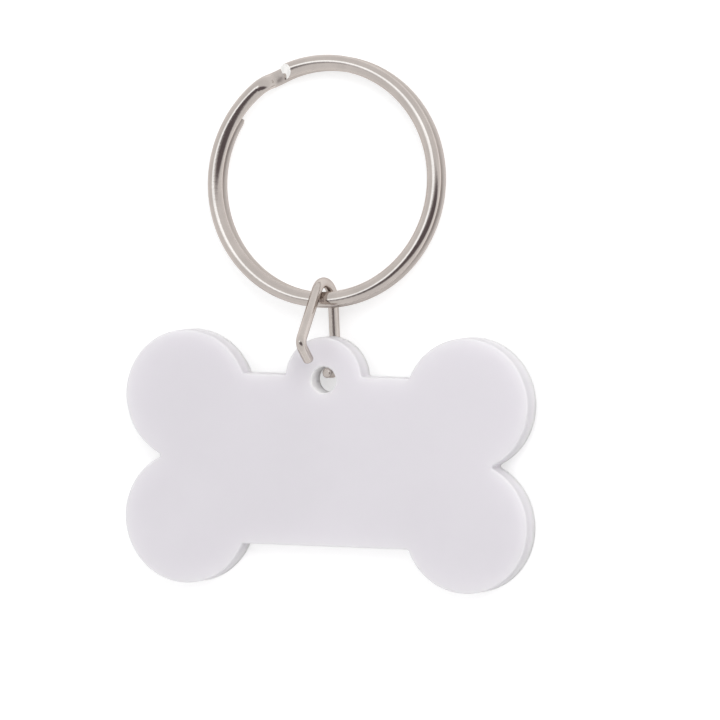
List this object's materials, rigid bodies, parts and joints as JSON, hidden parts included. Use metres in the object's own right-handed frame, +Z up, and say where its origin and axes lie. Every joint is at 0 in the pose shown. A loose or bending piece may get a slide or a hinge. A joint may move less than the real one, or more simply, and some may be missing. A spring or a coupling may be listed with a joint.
{
  "type": "pet id tag",
  "caption": "Flat bone-shaped plastic pet id tag with a lug on its edge, held by an open bent wire link to a wire split ring that goes on a collar.",
  "frame": {"origin": "on the table under the middle of the whole tag as it lies, plate, link and ring in a row", "axes": "+Z up from the table, +Y from the plate through the link to the ring, +X along the bone to the right, with the plate's front face up"},
  "size_m": [0.052, 0.0636, 0.0093],
  "materials": {
    "opal_plastic": "white opal sheet with a soft gloss, cut edges a little duller than the faces",
    "link_nickel": "bright nickel plating on round wire, with fine drawing lines",
    "ring_nickel": "bright nickel plating on domed spring wire, with fine rolling lines"
  },
  "bodies": {
    "tag": {"tag_plate": "opal_plastic"},
    "link": {"wire_link": "link_nickel"},
    "ring": {"split_ring": "ring_nickel"}
  },
  "joints": [
    {"name": "link_swing", "type": "hinge", "parent": "tag", "child": "link", "pos_m": [-0.0003, -0.00682, 0.00133], "axis": [0, -0.0539, 0.9985], "range_deg": [-27, 18]},
    {"name": "ring_swing", "type": "hinge", "parent": "link", "child": "ring", "pos_m": [-0.00108, 0.00257, 0.00268], "axis": [0.9995, 0.0314, 0], "range_deg": [-125, 110]}
  ]
}
